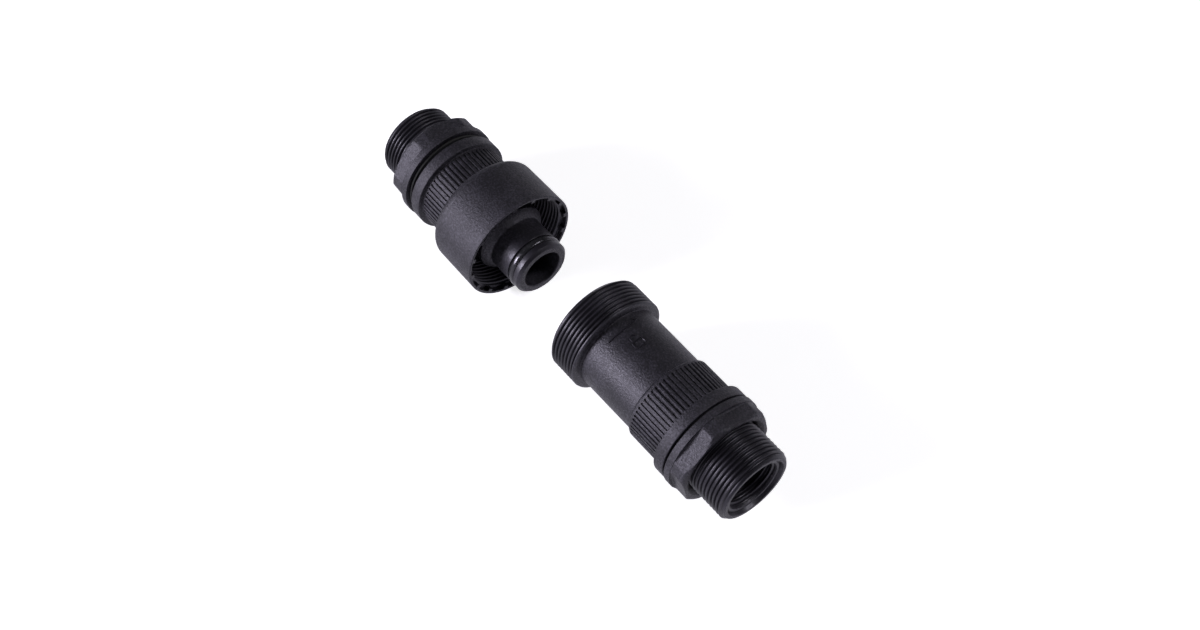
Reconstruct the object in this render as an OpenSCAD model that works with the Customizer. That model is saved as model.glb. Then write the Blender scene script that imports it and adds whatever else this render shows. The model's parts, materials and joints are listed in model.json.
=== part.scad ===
// Two-part quick-release coupling for panel mounting: a plug half with a captive
// coupling nut and a hollow O-ring nose, and a socket half with a threaded mouth.
// Both halves share the X axis. The origin is the centre of the socket half's panel
// seat, with its bulkhead neck towards +X and its mouth towards -X. Millimetres.

/* [Bulkhead neck and flange, the same on both halves] */
// Radius of the bulkhead thread over its crests
neck_r = 9.0; // [8.8:0.1:9.2]
// Length of the bulkhead neck from the panel seat
neck_l = 15.1; // [14:0.1:18]
// Radius of the round flange
flange_r = 11.7; // [11.2:0.1:12.5]
// Thickness of the round flange
flange_t = 2.8; // [2:0.1:4]
// Radius of the ribbed grip collar
collar_r = 10.6; // [10.2:0.1:10.7]
// Length of the ribbed grip collar
collar_l = 9.6; // [9:0.1:12]
// Wall radius of the inner port thread
port_r = 5.72; // [5:0.01:6]
// Depth of the inner port thread with its lead-in
port_depth = 11.4; // [9:0.1:12]

/* [Lock nuts] */
// Width of a lock nut across its flats
nut_flats = 21.8; // [20:0.1:23]
// Radius of a lock nut's round flange
nut_flange_r = 11.9; // [11.2:0.1:13]
// Thickness of a lock nut's round flange
nut_flange_t = 1.7; // [1:0.1:2.5]
// Whole thickness of a lock nut
nut_t = 5.6; // [4:0.1:7]
// Angle of the plug half's lock nut about its axis
plug_nut_turn = 19; // [0:1:60]
// Angle of the socket half's lock nut about its axis
socket_nut_turn = -12; // [-60:1:60]
// Gap between the seat and the plug half's lock nut
plug_nut_gap = 1.7; // [0.6:0.1:4]
// Gap between the seat and the socket half's lock nut, filled by the gasket
socket_nut_gap = 0.6; // [0.6:0.1:4]

/* [Coupling nut] */
// Outer radius of the coupling nut
coupling_r = 13.6; // [13.4:0.1:15]
// Length of the coupling nut
coupling_l = 14.1; // [12:0.1:15]
// Distance from the plug half's panel seat to the back of the coupling nut
coupling_back = 10.2; // [9:0.1:10.4]
// Radius of the rounded back edge of the coupling nut
coupling_round = 2.0; // [0.5:0.1:2.2]

/* [Plug half nose] */
// Radius of the front sleeve round the nose
sleeve_r = 8.3; // [7.8:0.1:8.4]
// Distance from the plug half's panel seat to the front of that sleeve
sleeve_end = 21.3; // [20:0.1:22]
// Radius of the nose
nose_r = 6.7; // [6.5:0.1:6.8]
// Distance from the plug half's panel seat to the end of the nose
nose_end = 32.5; // [31:0.1:34]
// Radius of the bore through the nose
nose_bore_r = 4.68; // [4.4:0.01:4.8]

/* [Socket half sleeve] */
// Radius of the mouth thread over its crests
mouth_r = 11.83; // [11.5:0.01:11.9]
// Length of the threaded mouth
mouth_l = 8.5; // [8:0.1:10]
// Radius of the bore in the mouth
mouth_bore_r = 8.6; // [8.5:0.1:10]
// Depth of the bore in the mouth
mouth_bore_l = 4.9; // [4:0.1:6]
// Radius of the smooth body behind the mouth
body_r = 10.0; // [9.5:0.1:10.2]
// Distance from the socket half's panel seat to the front of the mouth
mouth_end = 37.0; // [34:0.1:40]

/* [Layout] */
// Free distance between the nose and the mouth when the halves lie apart
halves_gap = 17.0; // [1:0.1:40]

/* [Hidden] */
$fn = 96;

overrun = 1;                 // how far a cut runs past the solid that it opens
touch = 0.02;                // gap between parts of two bodies that bear on each other
collar_end = flange_t + collar_l;
plug_seat_x = -(mouth_end + halves_gap + nose_end);

// Rear body inside
neck_chamfer = [1.0, 0.8];   // length and depth of the chamfer at the neck's end
neck_root_l = 7.6;           // neck length that the nut and gasket stand on
neck_root_r = neck_r - 0.2;
port_mouth_r = 7.25;         // tapered lead-in ahead of the port thread
port_mouth_l = 0.75;
port_step_r = 6.82;
flow_r = 4.6;                // passage behind the port
socket_bore_r = 8.0;         // bore that takes the front piece's spigot
seat_z = 1.0;                // floor of that bore
seat_t = 2.0;                // thickness of the spring seat
spigot_r = socket_bore_r - 0.1;
spigot_z = seat_z + seat_t + 0.05;
collar_chamfer = 0.6;
o_ring_groove = [8.2, 9.6];  // groove on the spigot
groove_bottom_r = 6.95;
body_o_ring_r = 0.47;
chamber_r = 5.9;             // valve chamber

// Nose O-ring
nose_root = 23.0;            // where the cone at the sleeve's end meets the nose
nose_groove = [28.7, 30.6];
nose_groove_r = 5.3;
nose_o_ring_r = 0.76;
nose_o_ring_out = 6.85;
nose_chamfer = 0.6;

// Coupling nut inside
coupling_hole_r = collar_r + 0.25;
coupling_wall = 1.7;
coupling_thread_r = 12.0;
rim_bore_r = 13.0;
rim_bore_l = 1.2;
slip_ring_t = 0.75;
slip_ring_z = coupling_back + coupling_wall + touch;
shoulder_z = slip_ring_z + slip_ring_t + touch;
shoulder_t = 1.9;
shoulder_r = 11.6;

// Lock nuts and gaskets
nut_bore_r = neck_r + 0.2;
nut_chamfer = 0.7;
gasket_t = 0.56;
gasket_r = 10.9;

// Valves
plug_seat_face = 19.6;       // flat face that the plug half's valve closes on
socket_seat_face = 17.5;     // the same in the socket half
seat_hole_r = 4.3;
seat_hole_l = 1.6;
nose_socket_r = 7.05;        // bore in the socket half that takes the nose
nose_socket_z = 20.2;
mouth_cone_l = 1.65;         // cone at the mouth's floor that leads the nose in
seal_t = 0.96;
seal_r = [4.05, 5.35];
disc_r = 5.4;
disc_t = 1.6;
hub_r = 4.0;
tip_r = 2.2;
guide_r = 1.5;
guide_end = 0.2;
plug_tip_end = 28.5;
socket_tip_end = 29.8;
spring_r = 4.9;
wire_r = 0.3;
coils = 6;
wire_sides = 8;
steps_per_coil = 20;
port_holes = 6;
port_hole_r = 1.1;
port_hole_ring_r = 3.3;

plastic = [0.10, 0.10, 0.11];
dark_rubber = [0.05, 0.05, 0.055];
steel = [0.62, 0.62, 0.64];

// A solid along Z from z0 to z1, with its radii at both ends
module shaft(z0, z1, r0, r1 = undef) {
    translate([0, 0, z0]) cylinder(h = z1 - z0, r1 = r0, r2 = is_undef(r1) ? r0 : r1);
}

// The plug half's own axis starts at its panel seat and runs towards the nose
module on_plug() { translate([plug_seat_x, 0, 0]) rotate([0, 90, 0]) children(); }

// The socket half's own axis starts at its panel seat and runs towards the mouth
module on_socket() { rotate([0, -90, 0]) children(); }

// Neck, flange and grip collar, with the port, the passage and the spigot's bore
module rear_body() {
    difference() {
        union() {
            shaft(-neck_l, neck_chamfer[0] - neck_l, neck_r - neck_chamfer[1], neck_r);
            shaft(neck_chamfer[0] - neck_l, -neck_root_l, neck_r);
            shaft(-neck_root_l, 0, neck_root_r);
            shaft(0, flange_t, flange_r);
            shaft(flange_t, collar_end - collar_chamfer, collar_r);
            shaft(collar_end - collar_chamfer, collar_end, collar_r, body_r);
        }
        shaft(-neck_l - overrun, port_mouth_l - neck_l,
            port_mouth_r + (port_mouth_r - port_step_r) * overrun / port_mouth_l, port_step_r);
        shaft(port_mouth_l - neck_l, port_mouth_l + port_step_r - port_r - neck_l, port_step_r, port_r);
        shaft(-neck_l, port_depth - neck_l, port_r);
        shaft(port_depth - neck_l - overrun, seat_z + overrun, flow_r);
        shaft(seat_z, collar_end + overrun, socket_bore_r);
    }
}

// Spigot that joins a front piece to the rear body, with its O-ring groove
module spigot() {
    difference() {
        shaft(spigot_z, collar_end + touch, spigot_r);
        difference() {
            shaft(o_ring_groove[0], o_ring_groove[1], spigot_r + overrun);
            shaft(o_ring_groove[0] - overrun, o_ring_groove[1] + overrun, groove_bottom_r);
        }
    }
}

// A round-section ring about Z: section radius, outer radius and place
module o_ring(section, outer, z) {
    translate([0, 0, z]) rotate_extrude() translate([outer - section, 0]) circle(r = section, $fn = 32);
}

module flat_ring(z0, z1, inner, outer) {
    difference() {
        shaft(z0, z1, outer);
        shaft(z0 - overrun, z1 + overrun, inner);
    }
}

// Hexagonal nut with a round flange; its flange faces +Z at z = top
module lock_nut(top, turn) {
    difference() {
        union() {
            shaft(top - nut_flange_t, top, nut_flange_r);
            intersection() {
                rotate([0, 0, turn]) translate([0, 0, top - nut_t])
                    cylinder(h = nut_t - nut_flange_t + touch, r = nut_flats / 2 / cos(30), $fn = 6);
                union() {
                    shaft(top - nut_t, top - nut_t + nut_chamfer, nut_flange_r - nut_chamfer, nut_flange_r);
                    shaft(top - nut_t + nut_chamfer, top, nut_flange_r);
                }
            }
        }
        shaft(top - nut_t - overrun, top + overrun, nut_bore_r);
    }
}

// Disc with a hub, a tip that meets the other half's valve and a rear guide stem
module poppet(seat_face, tip_end) {
    disc_z = seat_face - touch - seal_t - disc_t;
    shaft(disc_z, disc_z + disc_t, disc_r);
    shaft(disc_z + disc_t, seat_face - 2 * touch, hub_r);
    shaft(seat_face - 2 * touch - overrun, tip_end, tip_r);
    shaft(guide_end, disc_z + touch, guide_r);
}

module valve_seal(seat_face) {
    flat_ring(seat_face - touch - seal_t, seat_face - touch, seal_r[0], seal_r[1]);
}

// Round wire coiled about Z between the spring seat and the valve's disc
module spring(z0, z1) {
    steps = coils * steps_per_coil;
    rise = (z1 - z0 - 2 * wire_r) / steps;
    points = [for (i = [0:steps]) for (k = [0:wire_sides - 1])
        let (turn = i * 360 / steps_per_coil, side = k * 360 / wire_sides,
             r = spring_r + wire_r * cos(side))
        [r * cos(turn), r * sin(turn), z0 + wire_r + i * rise + wire_r * sin(side)]];
    skin = [for (i = [0:steps - 1]) for (k = [0:wire_sides - 1])
        let (a = i * wire_sides + k, b = i * wire_sides + (k + 1) % wire_sides)
        [a, a + wire_sides, b + wire_sides, b]];
    first = [for (k = [0:wire_sides - 1]) k];
    last = [for (k = [wire_sides - 1:-1:0]) steps * wire_sides + k];
    polyhedron(points, concat(skin, [first, last]), convexity = 10);
}

// Perforated disc that backs the spring and guides the valve's stem
module spring_seat() {
    difference() {
        shaft(seat_z, seat_z + seat_t, spigot_r);
        shaft(seat_z - overrun, seat_z + seat_t + overrun, guide_r + 0.1);
        for (i = [0:port_holes - 1])
            rotate([0, 0, i * 360 / port_holes]) translate([port_hole_ring_r, 0, 0])
                shaft(seat_z - overrun, seat_z + seat_t + overrun, port_hole_r);
    }
}

module plug_rear_body() { color(plastic) on_plug() rear_body(); }

// Spigot, the shoulder that the coupling nut pulls on, the front sleeve and the nose
module plug_front_body() {
    color(plastic) on_plug() difference() {
        union() {
            spigot();
            shaft(collar_end + touch, shoulder_z, body_r);
            shaft(shoulder_z, shoulder_z + shoulder_t, shoulder_r);
            shaft(shoulder_z, sleeve_end, sleeve_r);
            difference() {
                union() {
                    shaft(sleeve_end, nose_root, sleeve_r, nose_r);
                    shaft(sleeve_end, nose_end - nose_chamfer, nose_r);
                    shaft(nose_end - nose_chamfer, nose_end, nose_r, nose_r - nose_chamfer);
                }
                flat_ring(nose_groove[0], nose_groove[1], nose_groove_r, nose_r + overrun);
            }
        }
        shaft(spigot_z - overrun, plug_seat_face, chamber_r);
        shaft(plug_seat_face - overrun, plug_seat_face + seat_hole_l + overrun, seat_hole_r);
        shaft(plug_seat_face + seat_hole_l, nose_end + overrun, nose_bore_r);
    }
}

module plug_body_o_ring() {
    color(dark_rubber) on_plug()
        o_ring(body_o_ring_r, spigot_r, (o_ring_groove[0] + o_ring_groove[1]) / 2);
}

module plug_nose_o_ring() {
    color(dark_rubber) on_plug()
        o_ring(nose_o_ring_r, nose_o_ring_out, (nose_groove[0] + nose_groove[1]) / 2);
}

// Captive nut: a hole round the grip collar, then the threaded bore and a wider rim
module coupling_nut() {
    edge = [for (a = [0:15:90])
        [coupling_r - coupling_round * (1 - sin(a)), coupling_back + coupling_round * (1 - cos(a))]];
    front = coupling_back + coupling_l;
    color(plastic) on_plug() rotate_extrude() polygon(concat(
        [[coupling_hole_r, coupling_back]], edge,
        [[coupling_r, front], [rim_bore_r, front], [rim_bore_r, front - rim_bore_l],
         [coupling_thread_r, front - rim_bore_l], [coupling_thread_r, coupling_back + coupling_wall],
         [coupling_hole_r, coupling_back + coupling_wall]]));
}

// Thin ring between the nut's back wall and the shoulder, which slides with the nut
module nut_slip_ring() {
    color(dark_rubber) on_plug()
        flat_ring(slip_ring_z, slip_ring_z + slip_ring_t, coupling_hole_r, shoulder_r);
}

module plug_lock_nut() { color(plastic) on_plug() lock_nut(-plug_nut_gap, plug_nut_turn); }

module plug_panel_gasket() {
    color(dark_rubber) on_plug()
        flat_ring(touch - plug_nut_gap, touch - plug_nut_gap + gasket_t, nut_bore_r, gasket_r);
}

module plug_valve_poppet() { color(plastic) on_plug() poppet(plug_seat_face, plug_tip_end); }

module plug_valve_seal() { color(dark_rubber) on_plug() valve_seal(plug_seat_face); }

module plug_valve_spring() {
    color(steel) on_plug() spring(seat_z + seat_t, plug_seat_face - touch - seal_t - disc_t);
}

module plug_spring_seat() { color(plastic) on_plug() spring_seat(); }

module socket_rear_body() { color(plastic) on_socket() rear_body(); }

// Spigot, smooth body and threaded mouth, bored for the plug half's sleeve and nose
module socket_front_sleeve() {
    mouth_chamfer = [1.1, 1.2];
    color(plastic) on_socket() difference() {
        union() {
            spigot();
            shaft(collar_end + touch, mouth_end - mouth_l, body_r);
            shaft(mouth_end - mouth_l, mouth_end - mouth_chamfer[0], mouth_r);
            shaft(mouth_end - mouth_chamfer[0], mouth_end, mouth_r, mouth_r - mouth_chamfer[1]);
        }
        shaft(spigot_z - overrun, socket_seat_face, chamber_r);
        shaft(socket_seat_face - overrun, nose_socket_z + overrun, seat_hole_r);
        shaft(nose_socket_z, mouth_end, nose_socket_r);
        shaft(mouth_end - mouth_bore_l - mouth_cone_l, mouth_end - mouth_bore_l, nose_socket_r, mouth_bore_r);
        shaft(mouth_end - mouth_bore_l, mouth_end + overrun, mouth_bore_r);
    }
}

module socket_body_o_ring() {
    color(dark_rubber) on_socket()
        o_ring(body_o_ring_r, spigot_r, (o_ring_groove[0] + o_ring_groove[1]) / 2);
}

module socket_lock_nut() { color(plastic) on_socket() lock_nut(-socket_nut_gap, socket_nut_turn); }

module socket_panel_gasket() {
    color(dark_rubber) on_socket()
        flat_ring(touch - socket_nut_gap, touch - socket_nut_gap + gasket_t, nut_bore_r, gasket_r);
}

module socket_valve_poppet() { color(plastic) on_socket() poppet(socket_seat_face, socket_tip_end); }

module socket_valve_seal() { color(dark_rubber) on_socket() valve_seal(socket_seat_face); }

module socket_valve_spring() {
    color(steel) on_socket() spring(seat_z + seat_t, socket_seat_face - touch - seal_t - disc_t);
}

module socket_spring_seat() { color(plastic) on_socket() spring_seat(); }

plug_rear_body();
plug_front_body();
plug_body_o_ring();
plug_nose_o_ring();
coupling_nut();
nut_slip_ring();
plug_lock_nut();
plug_panel_gasket();
plug_valve_poppet();
plug_valve_seal();
plug_valve_spring();
plug_spring_seat();
socket_rear_body();
socket_front_sleeve();
socket_body_o_ring();
socket_lock_nut();
socket_panel_gasket();
socket_valve_poppet();
socket_valve_seal();
socket_valve_spring();
socket_spring_seat();
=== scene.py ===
import json
import math

import bmesh
import bpy
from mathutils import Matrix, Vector


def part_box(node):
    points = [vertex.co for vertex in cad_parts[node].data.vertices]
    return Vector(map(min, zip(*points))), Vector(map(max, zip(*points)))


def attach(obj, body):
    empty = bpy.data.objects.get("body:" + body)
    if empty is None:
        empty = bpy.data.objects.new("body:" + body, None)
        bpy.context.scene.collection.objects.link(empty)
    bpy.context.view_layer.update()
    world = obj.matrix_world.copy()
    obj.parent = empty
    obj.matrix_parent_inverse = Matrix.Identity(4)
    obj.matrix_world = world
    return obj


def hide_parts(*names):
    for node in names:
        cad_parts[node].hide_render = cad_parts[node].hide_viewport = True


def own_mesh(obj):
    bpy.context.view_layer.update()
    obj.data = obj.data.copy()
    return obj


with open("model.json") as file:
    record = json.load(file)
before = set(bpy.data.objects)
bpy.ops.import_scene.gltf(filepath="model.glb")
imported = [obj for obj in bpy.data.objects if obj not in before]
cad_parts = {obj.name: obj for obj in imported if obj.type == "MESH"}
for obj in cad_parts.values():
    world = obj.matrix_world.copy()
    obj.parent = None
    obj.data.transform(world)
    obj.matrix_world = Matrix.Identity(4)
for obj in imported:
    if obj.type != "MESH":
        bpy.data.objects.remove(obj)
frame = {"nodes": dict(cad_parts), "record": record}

MM = 0.001
TAU = 2 * math.pi
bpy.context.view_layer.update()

# ---------------------------------------------------------------- materials


class Nodes:
    """A material's node tree, with short calls for the nodes that the finishes share."""

    def __init__(self, name):
        self.material = bpy.data.materials.new(name)
        self.material.use_nodes = True
        self.tree = self.material.node_tree
        self.shader = self.tree.nodes["Principled BSDF"]
        self.place = self.add("ShaderNodeTexCoord").outputs["Object"]

    def add(self, kind, **settings):
        node = self.tree.nodes.new(kind)
        for key, value in settings.items():
            setattr(node, key, value)
        return node

    def link(self, a, b):
        self.tree.links.new(a, b)

    def noise(self, size_mm, detail=2.0, roughness=0.5, stretch=None):
        node = self.add("ShaderNodeTexNoise")
        node.inputs["Scale"].default_value = 1.0 / (size_mm * MM)
        node.inputs["Detail"].default_value = detail
        node.inputs["Roughness"].default_value = roughness
        source = self.place
        if stretch:
            mapping = self.add("ShaderNodeMapping")
            mapping.inputs["Scale"].default_value = stretch
            self.link(self.place, mapping.inputs["Vector"])
            source = mapping.outputs["Vector"]
        self.link(source, node.inputs["Vector"])
        return node.outputs["Fac"]

    def remap(self, value, low, high, out_low, out_high):
        node = self.add("ShaderNodeMapRange")
        for key, number in (("From Min", low), ("From Max", high), ("To Min", out_low), ("To Max", out_high)):
            node.inputs[key].default_value = number
        self.link(value, node.inputs["Value"])
        return node.outputs["Result"]

    def math(self, operation, a, b):
        node = self.add("ShaderNodeMath", operation=operation)
        for socket, value in zip(node.inputs, (a, b)):
            if isinstance(value, (int, float)):
                socket.default_value = value
            else:
                self.link(value, socket)
        return node.outputs["Value"]

    def colours(self, value, *stops):
        node = self.add("ShaderNodeValToRGB")
        ramp = node.color_ramp
        while len(ramp.elements) < len(stops):
            ramp.elements.new(0.5)
        for element, (position, colour) in zip(ramp.elements, stops):
            element.position = position
            element.color = (*colour, 1)
        self.link(value, node.inputs["Fac"])
        return node.outputs["Color"]

    def bump(self, height, distance_mm, strength, under=None):
        node = self.add("ShaderNodeBump")
        node.inputs["Distance"].default_value = distance_mm * MM
        node.inputs["Strength"].default_value = strength
        self.link(height, node.inputs["Height"])
        if under is not None:
            self.link(under, node.inputs["Normal"])
        return node.outputs["Normal"]

    def finish(self, colour, roughness, normal=None, **plain):
        self.link(colour, self.shader.inputs["Base Color"])
        self.link(roughness, self.shader.inputs["Roughness"])
        if normal is not None:
            self.link(normal, self.shader.inputs["Normal"])
        for key, value in plain.items():
            self.shader.inputs[key.replace("_", " ")].default_value = value
        return self.material


COOL_GLOSS = (1.0, 0.96, 1.12, 1)


def moulded_plastic():
    """Black glass-filled plastic from a textured mould; the grain attribute is 0 on threads and 1 on grained skin."""
    n = Nodes("moulded_plastic")
    grain = n.add("ShaderNodeAttribute", attribute_name="grain").outputs["Fac"]
    cloud = n.noise(6.0, 3.0)
    speck = n.noise(0.42, 3.0, 0.65)
    mottle = n.math("MULTIPLY", n.math("SUBTRACT", speck, 0.5), n.remap(grain, 0, 0.5, 0.3, 3.0))
    tone = n.math("ADD", mottle, cloud)
    colour = n.colours(tone, (0.20, (0.0030, 0.0028, 0.0040)), (0.50, (0.0085, 0.0079, 0.0108)),
                       (0.85, (0.0280, 0.0262, 0.0350)))
    matt = n.math("ADD", n.remap(speck, 0.3, 0.7, 0.07, -0.07), n.remap(cloud, 0.3, 0.7, -0.03, 0.03))
    gloss = n.remap(grain, 0.0, 1.0, 0.40, 0.53)
    depth = n.math("MULTIPLY", speck, n.remap(grain, 0, 0.6, 0.02, 1.0))
    return n.finish(colour, n.math("ADD", matt, gloss), n.bump(depth, 0.15, 1.0), Specular_Tint=COOL_GLOSS)


def valve_plastic():
    n = Nodes("valve_plastic")
    flow = n.noise(1.6, 3.0, 0.5, (0.25, 1, 1))
    fine = n.noise(0.2, 2.0)
    colour = n.colours(flow, (0.3, (0.012, 0.012, 0.0135)), (0.7, (0.022, 0.0215, 0.024)))
    return n.finish(colour, n.remap(flow, 0.3, 0.7, 0.28, 0.42), n.bump(fine, 0.02, 0.3))


def slip_plastic():
    n = Nodes("slip_plastic")
    turned = n.noise(0.5, 2.0, 0.5, (0.2, 1, 1))
    colour = n.colours(turned, (0.3, (0.020, 0.020, 0.022)), (0.7, (0.030, 0.030, 0.033)))
    return n.finish(colour, n.remap(turned, 0.3, 0.7, 0.35, 0.5), n.bump(turned, 0.015, 0.3))


def seal_rubber():
    n = Nodes("seal_rubber")
    bloom = n.noise(2.2, 4.0, 0.6)
    fine = n.noise(0.12, 2.0)
    colour = n.colours(bloom, (0.3, (0.008, 0.008, 0.009)), (0.75, (0.017, 0.017, 0.019)))
    return n.finish(colour, n.remap(bloom, 0.3, 0.7, 0.62, 0.80), n.bump(fine, 0.02, 0.4))


def glossy_seal():
    """Rubber with a film of grease, so its highlight breaks up a little."""
    n = Nodes("glossy_seal")
    film = n.noise(0.7, 3.0, 0.6)
    fine = n.noise(0.35, 2.0)
    colour = n.colours(film, (0.3, (0.010, 0.010, 0.0115)), (0.7, (0.016, 0.016, 0.018)))
    return n.finish(colour, n.remap(film, 0.35, 0.65, 0.16, 0.36), n.bump(fine, 0.08, 0.4),
                    Specular_Tint=COOL_GLOSS)


def spring_steel():
    n = Nodes("spring_steel")
    drawn = n.noise(0.35, 2.0, 0.5, (0.3, 1, 1))
    colour = n.colours(drawn, (0.3, (0.42, 0.42, 0.43)), (0.7, (0.60, 0.60, 0.61)))
    return n.finish(colour, n.remap(drawn, 0.3, 0.7, 0.22, 0.38), n.bump(drawn, 0.01, 0.3), Metallic=1.0)


FINISH = {make.__name__: make() for make in (moulded_plastic, valve_plastic, slip_plastic, seal_rubber,
                                              glossy_seal, spring_steel)}

# ---------------------------------------------------------------- geometry

# Lengths below are in millimetres unless a name says otherwise
NECK = 15.1  # length of a bulkhead neck, from its panel seat
COLLAR_END = 12.4  # front face of the grip collar
COLLAR_R = 10.6
SPIGOT_R = 7.9
SMOOTH_R = 9.98  # smooth body that carries the relief
CORNER_STEPS = 3
SOCKET_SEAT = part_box("socket_rear_body")[1].x - NECK * MM
PLUG_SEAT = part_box("plug_rear_body")[0].x + NECK * MM
FACING = math.radians(23.1)  # side of the object that faces the viewer, from +Z towards -Y


# One pitch of a thread's profile: place along the pitch, and height from root to crest
THREAD_PLACES = (0, .10, .18, .28, .35, .43, .5, .57, .65, .72, .82, .90)
THREAD_HEIGHTS = (0, .01, .08, .55, .82, .97, 1, .97, .82, .55, .08, .01)


def thread_height(p):
    """Height of the thread's profile at any place, in pitches."""
    p %= 1.0
    for i, a in enumerate(THREAD_PLACES):
        b = THREAD_PLACES[i + 1] if i + 1 < len(THREAD_PLACES) else 1.0
        if a <= p <= b:
            low, high = THREAD_HEIGHTS[i], THREAD_HEIGHTS[(i + 1) % len(THREAD_HEIGHTS)]
            return low + (high - low) * (p - a) / (b - a)
    return THREAD_HEIGHTS[0]


def rounded(points):
    """Rows (place, radius, grain). A point's fourth number is the radius that its corner is rounded by."""
    rows = []
    for i, point in enumerate(points):
        w, r, grain = point[:3]
        fillet = point[3] if len(point) > 3 else 0
        if not fillet or i in (0, len(points) - 1):
            rows.append((w, r, grain))
            continue
        here = Vector((w, r))
        to_a = Vector(points[i - 1][:2]) - here
        to_b = Vector(points[i + 1][:2]) - here
        angle = to_a.angle(to_b)
        if angle > math.pi - 0.02:
            rows.append((w, r, grain))
            continue
        reach = min(fillet / math.tan(angle / 2), 0.49 * to_a.length, 0.49 * to_b.length)
        radius = reach * math.tan(angle / 2)
        centre = here + (to_a.normalized() + to_b.normalized()).normalized() * radius / math.sin(angle / 2)
        start = here + to_a.normalized() * reach - centre
        end = here + to_b.normalized() * reach - centre
        for k in range(CORNER_STEPS + 1):
            arm = start.slerp(end, k / CORNER_STEPS).normalized() * radius
            rows.append((centre.x + arm.x, centre.y + arm.y, grain))
    return rows


class Turned:
    """A closed skin of rows turned about the X axis.

    Places run from a half's panel seat towards its mouth or nose. Turn angles run right-handed about that
    direction, so a socket piece is a plug piece turned half round about Z.
    """

    def __init__(self, half, columns):
        self.sign, self.seat = (1, PLUG_SEAT) if half == "plug" else (-1, SOCKET_SEAT)
        self.columns = columns
        self.verts, self.faces, self.grain = [], [], []
        self.first = self.last = None

    def point(self, w, r, b, grain):
        a = self.sign * b
        self.verts.append((self.seat + self.sign * w * MM, -r * MM * math.sin(a), r * MM * math.cos(a)))
        self.grain.append(grain)
        return len(self.verts) - 1

    def ring(self, w, r, grain):
        """w and r are numbers, or functions of the turn angle."""
        return [self.point(w(b) if callable(w) else w, r(b) if callable(r) else r, b, grain)
                for b in self.columns]

    def join(self, a, b, closed=True):
        n = len(self.columns)
        for j in range(n if closed else n - 1):
            k = (j + 1) % n
            self.faces.append((a[j], a[k], b[k], b[j]))

    def follow(self, ring):
        """Joins a ring to the last one."""
        if self.last is None:
            self.first = ring
        else:
            self.join(self.last, ring)
        self.last = ring

    def rows(self, *points):
        return self.shaped(*rounded(points))

    def shaped(self, *rows):
        """Rows whose place or radius may be a function of the turn angle, with no rounding."""
        for w, r, grain in rows:
            self.follow(self.ring(w, r, grain))
        return self

    def thread(self, w0, w1, pitch, root, crest, limit, phase=0.0, fade0=0.0, fade1=0.0):
        """Helical thread from w0 to w1, either way along the axis.

        limit(w, r) cuts the radius, such as at a chamfer. The thread fades out to its root over fade0 and
        fade1 at its ends.
        """
        n, m = len(self.columns), len(THREAD_PLACES)
        way = 1 if w1 > w0 else -1
        length = abs(w1 - w0)
        turns = int(math.ceil(length / pitch)) + 1

        def radius(d, p):
            keep = 1.0
            if fade0:
                keep *= min(max(d / fade0, 0), 1)
            if fade1:
                keep *= min(max((length - d) / fade1, 0), 1)
            return root + (crest - root) * thread_height(p) * keep

        def lead(b):
            """Pitches by which the helix is behind at a turn angle."""
            return b / TAU if way > 0 else 1 - b / TAU

        rings = []
        for i in range(m * (turns + 1) + 1):
            q = i // m - 1 - phase + THREAD_PLACES[i % m]
            ring = []
            for b in self.columns:
                place = min(max(pitch * (q + lead(b)), 0), length)
                p = place / pitch - lead(b) + phase
                w = w0 + way * place
                ring.append(self.point(w, limit(w, radius(place, p)), b, 0.0))
            rings.append(ring)
        if self.last is not None:
            self.join(self.last, rings[0])
        else:
            self.first = rings[0]
        last = len(rings) - 1
        for i in range(last):
            a, b = rings[i], rings[i + 1]
            self.join(a, b, closed=False)
            shift = m if way > 0 else -m
            c, d = rings[min(max(i + shift, 0), last)], rings[min(max(i + 1 + shift, 0), last)]
            self.faces.append((a[n - 1], c[0], d[0], b[n - 1]))
        self.last = rings[-1]
        return self

    def close(self):
        """Joins the last ring to the first."""
        self.join(self.last, self.first)
        return self

    def piece(self, name, body, slot, *nodes):
        return make_piece(name, self.verts, self.faces, self.grain, body, slot, *nodes)


def make_piece(name, verts, faces, grain, body, slot, *nodes):
    """Mesh piece that rides on a body and takes the place of CAD nodes."""
    mesh = bpy.data.meshes.new(name)
    mesh.from_pydata(verts, [], faces)
    attribute = mesh.attributes.new("grain", "FLOAT", "POINT")
    attribute.data.foreach_set("value", grain)
    bm = bmesh.new()
    bm.from_mesh(mesh)
    bmesh.ops.remove_doubles(bm, verts=bm.verts, dist=2e-6)
    bmesh.ops.dissolve_degenerate(bm, edges=bm.edges, dist=1e-6)
    bmesh.ops.recalc_face_normals(bm, faces=bm.faces)
    for face in bm.faces:
        face.smooth = True
    for edge in bm.edges:
        if len(edge.link_faces) == 2 and edge.calc_face_angle(0) > math.radians(40):
            edge.smooth = False
    bm.to_mesh(mesh)
    bm.free()
    mesh.materials.append(FINISH[slot])
    piece = bpy.data.objects.new(name, mesh)
    bpy.context.scene.collection.objects.link(piece)
    weighted = piece.modifiers.new("normals", "WEIGHTED_NORMAL")
    weighted.keep_sharp = True
    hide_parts(*nodes)
    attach(piece, body)
    return piece


def even(count):
    return [TAU * i / count for i in range(count)]


def columns_of(count, parts, turn=0.0):
    """Turn angles of a pattern that repeats count times: parts are degrees from the middle of each repeat."""
    pitch = 360 / count
    return sorted({round(math.radians(pitch * i + part + turn) % TAU, 6) for i in range(count) for part in parts})


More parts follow.
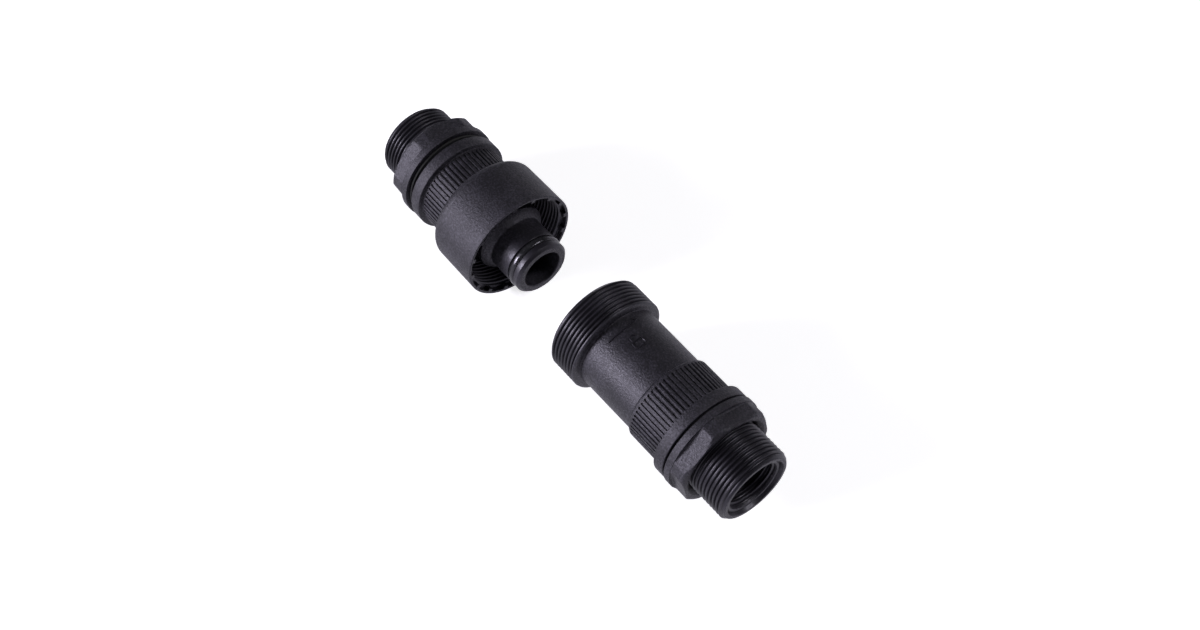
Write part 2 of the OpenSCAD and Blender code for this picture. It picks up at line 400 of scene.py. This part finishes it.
def rear_body(half, body, node, name):
    """Bulkhead neck with its two threads, flange and grooved grip collar."""
    grooves, low, high, depth, width, soft = 60, 3.25, 11.35, 0.36, 0.47, 0.10
    pitch = 360 / grooves
    t = Turned(half, columns_of(grooves, (-1.42, -1.12, -0.80, -0.30, 0.30, 0.80, 1.12, 1.42, 2.5, 3.5)))

    def grooved(w):
        """Radius of the grip collar with its grooves, whose ends are rounded."""
        def radius(b):
            side = (math.degrees(b) + pitch / 2) % pitch - pitch / 2
            across = abs(math.radians(side) * COLLAR_R)
            past = max(low + width / 2 - w, w - high + width / 2, 0)
            off = math.hypot(across, past) if past else across
            wall = (width / 2 + 0.04 - off) / soft
            return COLLAR_R - depth * min(max(wall, 0), 1)
        return radius

    end = -NECK
    thread_start, port_start, port_root, port_end = end + 0.12, end + 1.25, end + 11.2, end + 11.4
    g_pitch, g_minor, g_major, flow_r, bore_r = 1.337, 5.72, 6.55, 4.6, 8.0
    t.rows((port_start, 6.17, .3), (end + 0.74, 6.28, .3, .06), (end + 0.66, 6.84, .3, .06),
           (end + 1.05, 7.00, .1, .05), (end + 1.05, 7.20, .1, .05), (end, 7.45, .1, .07), (end, 7.6, .6),
           (end, 8.2, .5, .12), (thread_start, 8.3, .3))
    t.thread(thread_start, -0.9, 1.0, 8.38, 9.0, lambda w, r: min(r, 8.3 + max(w + 15.0, 0) * 0.8),
             phase=0.55 if half == "plug" else 0.35, fade1=0.8)
    t.rows((-0.85, 8.38, .3), (0, 8.42, .6, .1), (0, 11.7, 1, .22), (2.8, 11.7, 1, .22),
           (2.8, COLLAR_R, 1, .12), (3.1, COLLAR_R, 1))
    ends = (0.04, 0.09, 0.16, 0.24, 0.34)
    stops = [low - 0.06, low] + [low + part for part in ends] + [4.6, 6.0, 7.4, 8.8, 10.2]
    stops += [high - part for part in reversed(ends)] + [high, high + 0.06]
    for w in stops:
        t.follow(t.ring(w, grooved(w), 0.85))
    t.rows((11.75, COLLAR_R, 1), (11.95, 10.5, 1, .1), (12.30, 10.12, 1, .06), (COLLAR_END, 9.95, 1, .05),
           (COLLAR_END, bore_r, .5))
    t.rows((1.0, bore_r, .5), (1.0, flow_r, .5), (port_end, flow_r, .5))
    t.rows((port_end, 6.0, .4), (port_root, 6.2, .3))
    t.thread(port_root, port_start, g_pitch, g_major, g_minor,
             lambda w, r: max(r, 6.17 - max(w - end - 1.25, 0) * 1.2), fade0=0.9, phase=0.2)
    t.close()
    return t.piece(name, body, "moulded_plastic", node)


def lock_nut(half, body, node, name, gap, turn):
    """Hexagonal nut cut from a round one, with a round flange and a countersunk rear face."""
    flat, corner = 10.9, 11.88
    edge = math.degrees(math.acos(flat / corner))
    parts = [-edge, -edge + .5, -edge + 1.2, -18, -12, -6, 0, 6, 12, 18, edge - 1.2, edge - .5, edge,
             edge + .5, edge + 1.4, 26.5, 30, 33.5, 60 - edge - 1.4, 60 - edge - .5]
    t = Turned(half, columns_of(6, parts, turn))

    def hexagon(cut, grow=0.0, most=math.inf):
        """Radius of the flats where they are nearer the axis than a round cut."""
        def radius(b):
            side = (math.degrees(b) - turn + 30) % 60 - 30
            flat_r = (flat + grow) / math.cos(math.radians(side))
            soft = 0.10  # rounds the edge between a flat and the round corner
            k = min(max(0.5 + 0.5 * (cut - flat_r) / soft, 0), 1)
            return min(cut + (flat_r - cut) * k - soft * k * (1 - k), most)
        return radius

    top, flange_t, height, bore_r = -gap, 1.7, 5.6, 9.2
    t.rows((top - 0.5, bore_r, .3), (top, 9.6, .5), (top, 11.9, 1, .12), (top - flange_t, 11.9, 1, .12),
           (top - flange_t, 11.8, 1))
    t.shaped((top - flange_t, hexagon(11.80, 0.40), 1), (top - 1.74, hexagon(11.84, 0.22), 1),
             (top - 1.85, hexagon(corner, 0.08), 1), (top - 2.05, hexagon(corner), .6),
             (top - 3.4, hexagon(corner), .6), (top - 4.75, hexagon(corner), .6),
             (top - 4.95, hexagon(11.83), .6), (top - 5.2, hexagon(11.62), .6),
             (top - 5.5, hexagon(11.30, most=11.30), 1), (top - 5.57, hexagon(11.18, most=10.85), 1),
             (top - height, hexagon(11.1, most=10.76), 1))
    t.rows((top - height, 10.3, .8), (top - 5.5, 10.1, .7), (top - 4.7, 9.25, .3), (top - 4.6, bore_r, .3))
    t.close()
    return t.piece(name, body, "moulded_plastic", node)


def gasket(half, body, node, name, gap):
    """Flat ring that lies against its lock nut."""
    t = Turned(half, even(160))
    back, inner, outer, soft = 0.02 - gap, 9.3, 10.9, 0.18
    front = back + 0.56
    t.rows((back, inner, .2), (back, outer, .2, soft), (front, outer, .2, soft), (front, inner, .2))
    t.close()
    return t.piece(name, body, "seal_rubber", node)


# Spigot with its O-ring groove, and the valve chamber behind it, alike on both front pieces
SPIGOT = ((3.05, SPIGOT_R, .5), (8.2, SPIGOT_R, .5), (8.2, 6.95, .5), (9.6, 6.95, .5), (9.6, SPIGOT_R, .5),
          (12.42, SPIGOT_R, .5))
CHAMBER_R = 5.9
VALVE_SEAT_R = 4.3


def chamber(valve_seat, valve_seat_back):
    """Rows of the valve seat's bore and of the chamber behind it."""
    return ((valve_seat, VALVE_SEAT_R, .4), (valve_seat_back, VALVE_SEAT_R, .4), (valve_seat_back, CHAMBER_R, .4),
            (3.05, CHAMBER_R, .4))


def plug_front():
    """Shoulder that the coupling nut pulls on, sleeve, and the hollow nose with its O-ring groove."""
    t = Turned("plug", even(200))
    shoulder_r, sleeve_r, nose_r, nose_bore_r, groove_r, tip = 11.6, 8.3, 6.7, 4.68, 5.3, 32.5
    t.rows(*SPIGOT, (12.42, 10.0, .8), (12.69, 10.0, .8), (12.69, shoulder_r, .8, .15),
           (14.59, shoulder_r, .8, .15), (14.59, sleeve_r, .8, .2), (21.3, sleeve_r, .9, .25),
           (22.95, 6.75, .6, .1), (23.2, nose_r, .35), (26.0, nose_r, .35), (28.7, nose_r, .1, .14),
           (28.7, groove_r, .2, .08), (30.6, groove_r, .2, .08), (30.6, nose_r, .1, .12),
           (31.88, nose_r, .1, .08), (tip, 6.10, .1, .05), (tip, 6.02, .9), (tip, 4.92, .9), (tip, 4.82, .2, .08),
           (32.3, nose_bore_r, .2, .06), (21.2, nose_bore_r, .4), *chamber(21.2, 19.6))
    t.close()
    return t.piece("plug_front_shell", "plug_half", "moulded_plastic", "plug_front_body")


def nose_ring():
    """O-ring whose section is a little squared by its groove."""
    t = Turned("plug", even(200))
    middle, mean_r, half_width, half_height, squareness, steps = 29.65, 6.09, 0.88, 0.75, 0.8, 32
    for k in range(steps):
        across, out = math.cos(TAU * k / steps), math.sin(TAU * k / steps)
        t.follow(t.ring(middle + half_width * math.copysign(abs(across) ** squareness, across),
                        mean_r + half_height * math.copysign(abs(out) ** squareness, out), 0))
    t.close()
    return t.piece("plug_nose_seal_ring", "plug_half", "glossy_seal", "plug_nose_o_ring")


def ring_nut():
    """Round coupling nut with an inner thread and sixteen small tabs inside its rim."""
    tabs, first = 16, math.degrees(FACING) + 2.0
    pitch = 360 / tabs
    parts = (-2.4, -2.25, -1.4, 0, 1.4, 2.25, 2.4, 4.0, 6.2, 8.0, 9.6, 11.25, 12.9, 14.5, 16.3, 18.5)
    t = Turned("plug", columns_of(tabs, parts, first))

    def tabbed(outer, inner):
        def radius(b):
            side = (math.degrees(b) - first + pitch / 2) % pitch - pitch / 2
            return inner if abs(side) < 2.3 else outer
        return radius

    back, front, wall, hole_r, root_r, shoulder = 10.2, 24.3, 1.7, 10.87, 12.6, 2.0
    edge = [(back + shoulder * (1 - math.cos(math.radians(a))), 13.5 - shoulder * (1 - math.sin(math.radians(a))), 1)
            for a in range(0, 91, 10)]
    t.rows((back + wall, hole_r, .6), (back + .1, hole_r, .6), (back, 10.98, 1), (back, 11.2, 1), *edge,
           (back + 5, 13.53, 1), (back + 9, 13.57, 1), (front, 13.6, 1, .16), (front, 13.28, .7),
           (front - .05, 13.18, .5))
    t.shaped((front - 0.05, tabbed(13.05, 12.42), .5), (front - 0.10, tabbed(13.0, 12.34), .5),
             (front - 0.7, tabbed(13.0, 12.30), .3), (front - 1.2, tabbed(12.96, 12.30), .3),
             (front - 1.22, tabbed(12.75, 12.75), .3))
    t.rows((front - 1.25, 12.62, .2))
    t.thread(front - 1.25, back + 3.6, 1.0, root_r, 12.02, lambda w, r: r, fade1=1.0, phase=0.3)
    t.rows((back + 3.5, root_r, .4), (back + wall, root_r, .4))
    t.close()
    return t.piece("coupling_ring_nut", "ring_nut", "moulded_plastic", "coupling_nut")


def socket_front():
    """Smooth body with the threaded mouth."""
    t = Turned("socket", even(240))
    crest_r, mouth_r, nose_socket_r, mouth_end = 11.83, 8.6, 7.05, 37.0
    t.rows(*SPIGOT, (12.42, 9.93, .5, .06), (20.0, 9.97, .5), (28.5, 10.0, .5, .15), (28.5, 11.0, .5),
           (28.56, 11.5, .3), (28.72, 11.75, .25), (28.95, crest_r, .2), (29.15, crest_r, .2))
    t.thread(29.15, 36.85, 1.0, 11.25, crest_r, lambda w, r: min(r, crest_r - max(w - 35.9, 0) * 1.1), phase=0.72)
    t.rows((36.88, 10.72, .3), (mouth_end, 10.6, .3), (mouth_end, 10.1, .3, .1), (36.7, 8.75, .3, .15),
           (36.5, mouth_r, .3), (32.1, mouth_r, .5, .1), (30.45, nose_socket_r, .5, .1),
           (20.2, nose_socket_r, .4), *chamber(20.2, 17.5))
    t.close()
    return t.piece("socket_front_shell", "socket_half", "moulded_plastic", "socket_front_sleeve")


def valve_spring(half):
    """Round wire coiled between the spring seat and the valve, built at one fixed length."""
    low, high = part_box(f"{half}_valve_spring")
    turns, around, sides, wire, travel = 6, 36, 12, 0.3 * MM, 2.52 * MM
    coil, length = high.z - wire, high.x - low.x
    verts, faces = [], []
    for i in range(turns * around + 1):
        turn = TAU * i / around
        middle = low.x + wire + (length - 2 * wire) * i / (turns * around)
        for k in range(sides):
            side = TAU * k / sides
            r = coil + wire * math.cos(side)
            verts.append((middle + wire * math.sin(side), r * math.cos(turn), r * math.sin(turn)))
    for i in range(turns * around):
        for k in range(sides):
            a, b = i * sides + k, i * sides + (k + 1) % sides
            faces.append((a, a + sides, b + sides, b))
    last = turns * around * sides
    faces += [tuple(range(sides)), tuple(range(last + sides - 1, last - 1, -1))]
    piece = make_piece(f"{half}_coil_spring", verts, faces, [0.0] * len(verts), f"{half}_half", "spring_steel",
                       f"{half}_valve_spring")
    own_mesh(piece)


def relief(name, strokes, place, phi, width, height=0.24):
    """Raised moulded strokes on the smooth body, around the point at a place and an angle from the facing side.

    A stroke is a list of points: along the turn, and along the axis towards the mouth.
    """
    sunk = -0.06
    section = ((-0.5, sunk), (-0.46, height * 0.8), (-0.34, height), (0.34, height), (0.46, height * 0.8), (0.5, sunk))
    sides = len(section)
    verts, faces = [], []
    for stroke in strokes:
        closed = stroke[0] == stroke[-1]
        points = [Vector(p) for p in (stroke[:-1] if closed else stroke)]
        n = len(points)
        rings = []
        for i, p in enumerate(points):
            a = points[(i - 1) % n] if closed or i else p
            b = points[(i + 1) % n] if closed or i < n - 1 else p
            before, beyond = p - a, b - p
            along = before.normalized() if before.length else beyond.normalized()
            after = beyond.normalized() if beyond.length else along
            tangent = (along + after).normalized()
            side = Vector((-tangent.y, tangent.x)) / max(tangent.dot(after), 0.5)
            ring = []
            for offset, rise in section:
                q = p + side * offset * width
                angle = FACING + math.radians(phi) - q.x / SMOOTH_R
                r = (SMOOTH_R + rise) * MM
                verts.append((SOCKET_SEAT - (place + q.y) * MM, -r * math.sin(angle), r * math.cos(angle)))
                ring.append(len(verts) - 1)
            rings.append(ring)
        for i in range(n if closed else n - 1):
            a, b = rings[i], rings[(i + 1) % n]
            for k in range(sides):
                faces.append((a[k], a[(k + 1) % sides], b[(k + 1) % sides], b[k]))
        if not closed:
            faces += [tuple(rings[0]), tuple(reversed(rings[-1]))]
    return make_piece(name, verts, faces, [0.0] * len(verts), "socket_half", "moulded_plastic",
                      "socket_front_sleeve")


def arc(cx, cy, r, start, end, steps=10):
    return [(cx + r * math.cos(math.radians(start + (end - start) * k / steps)),
             cy + r * math.sin(math.radians(start + (end - start) * k / steps))) for k in range(steps + 1)]


rear_body("plug", "plug_half", "plug_rear_body", "plug_rear_shell")
rear_body("socket", "socket_half", "socket_rear_body", "socket_rear_shell")
lock_nut("plug", "plug_nut", "plug_lock_nut", "plug_hex_nut", 1.7, 49.1)
lock_nut("socket", "socket_nut", "socket_lock_nut", "socket_hex_nut", 0.6, -42.0)
gasket("plug", "plug_gasket", "plug_panel_gasket", "plug_flat_gasket", 1.7)
gasket("socket", "socket_gasket", "socket_panel_gasket", "socket_flat_gasket", 0.6)
plug_front()
nose_ring()
ring_nut()
socket_front()
valve_spring("plug")
valve_spring("socket")

# Turning arrow, and an open padlock for unlocking
shaft = [(k * 0.5, 0.0) for k in range(13)]
head = [(6.2, 0.0), (7.0, 0.28), (8.0, 0.62), (8.0 - 0.9, 0.95)]
relief("turning_arrow", [shaft + head], 25.85, 4, width=0.36)
lock_body = [(-1.1, -1.5), (1.1, -1.5), (1.25, -1.35), (1.25, 0.05), (1.1, 0.2), (-1.1, 0.2), (-1.25, 0.05),
             (-1.25, -1.35), (-1.1, -1.5)]
shackle = [(-0.85, 0.2), (-0.85, 0.9)] + arc(-0.1, 0.95, 0.75, 180, 20)
relief("open_padlock", [lock_body, shackle], 22.0, -22, width=0.34)

for node, thing in frame["nodes"].items():
    if not thing.hide_render:
        slot = next(m["material_slot"] for m in frame["record"]["subparts"] if m["node"] == node)
        thing.data.materials.clear()
        thing.data.materials.append(FINISH[slot])

# ---------------------------------------------------------------- floor, light and camera, in metres

# The halves rest on the coupling nut and on the socket half's lock nut, so the floor slopes between them
floor_mesh = bpy.data.meshes.new("floor")
low_x, high_x = -0.0740, -0.0015
low_z, high_z = -0.01362, -0.01191
slope = (high_z - low_z) / (high_x - low_x)
corners = ((-1.6, -1.6), (1.5, -1.6), (1.5, 1.6), (-1.6, 1.6))
floor_mesh.from_pydata([(x, y, low_z + (x - low_x) * slope) for x, y in corners], [], [(0, 1, 2, 3)])
floor = bpy.data.objects.new("floor", floor_mesh)
bpy.context.scene.collection.objects.link(floor)
n = Nodes("white_table")
tone = n.noise(60.0, 2.0)
colour = n.colours(tone, (0.3, (0.80, 0.79, 0.83)), (0.7, (0.82, 0.81, 0.85)))
n.finish(colour, n.remap(tone, 0.3, 0.7, 0.85, 0.95), Specular_IOR_Level=0.0)
n.shader.inputs["Emission Color"].default_value = (1, 1, 1, 1)
n.shader.inputs["Emission Strength"].default_value = 0.70
floor_mesh.materials.append(n.material)
floor.visible_glossy = False

world = bpy.data.worlds.new("studio")
bpy.context.scene.world = world
world.use_nodes = True
tree = world.node_tree
direction = tree.nodes.new("ShaderNodeTexCoord")
split = tree.nodes.new("ShaderNodeSeparateXYZ")
tree.links.new(direction.outputs["Generated"], split.inputs["Vector"])


def bands(output, stops):
    """World light by one component of the direction: stops of (component from -1 to 1, light), in order."""
    place = tree.nodes.new("ShaderNodeMapRange")
    place.inputs["From Min"].default_value = -1.0
    tree.links.new(output, place.inputs["Value"])
    ramp = tree.nodes.new("ShaderNodeValToRGB")
    tree.links.new(place.outputs["Result"], ramp.inputs["Fac"])
    elements = ramp.color_ramp.elements
    for component, light in stops:
        if component == -1:
            stop = elements[0]
        elif component == 1:
            stop = elements[-1]
        else:
            stop = elements.new((component + 1) / 2)
        stop.color = (light, light * 0.98, light * 1.08, 1)
    return ramp.outputs["Color"]


by_height = bands(split.outputs["Z"], ((-1, 0.75), (0.05, 0.75), (0.16, 0.12), (0.4, 0.06), (1, 0.06)))
tree.links.new(by_height, tree.nodes["Background"].inputs["Color"])
tree.nodes["Background"].inputs["Strength"].default_value = 1.0


def softbox(name, place, aim, size, power, colour=(1, 1, 1)):
    light = bpy.data.lights.new(name, "AREA")
    light.shape = "RECTANGLE"
    light.size, light.size_y = size
    light.energy = power
    light.color = colour
    lamp = bpy.data.objects.new(name, light)
    lamp.location = place
    lamp.rotation_euler = (Vector(aim) - Vector(place)).to_track_quat("-Z", "Y").to_euler()
    bpy.context.scene.collection.objects.link(lamp)


MIDDLE = (-0.043, 0, 0)
softbox("left_box", (-0.42, -0.80, 0.32), MIDDLE, (0.36, 0.24), 9.8, (1, 0.98, 1.06))
softbox("top_box", (0.30, 0.50, 0.80), MIDDLE, (0.22, 0.22), 3.4)

azimuth, elevation, distance = math.radians(51.05), math.radians(55.84), 0.36924
target, shift_right, shift_down = Vector((-0.041, 0, 0)), 0.00423, 0.00148
level = math.cos(elevation)
towards = Vector((math.sin(azimuth) * level, -math.cos(azimuth) * level, math.sin(elevation)))
right = Vector((math.cos(azimuth), math.sin(azimuth), 0))
down = (-towards).cross(right)
camera = bpy.data.objects.new("camera", bpy.data.cameras.new("camera"))
camera.data.lens = 51.957
camera.data.sensor_width = 36.0
camera.data.sensor_fit = "HORIZONTAL"
camera.data.clip_start = 0.01
camera.location = target + towards * distance + right * shift_right + down * shift_down
camera.rotation_euler = (-towards).to_track_quat("-Z", "Y").to_euler()
bpy.context.scene.collection.objects.link(camera)
bpy.context.scene.camera = camera

bpy.context.scene.view_settings.view_transform = "Standard"
bpy.context.scene.view_settings.look = "None"
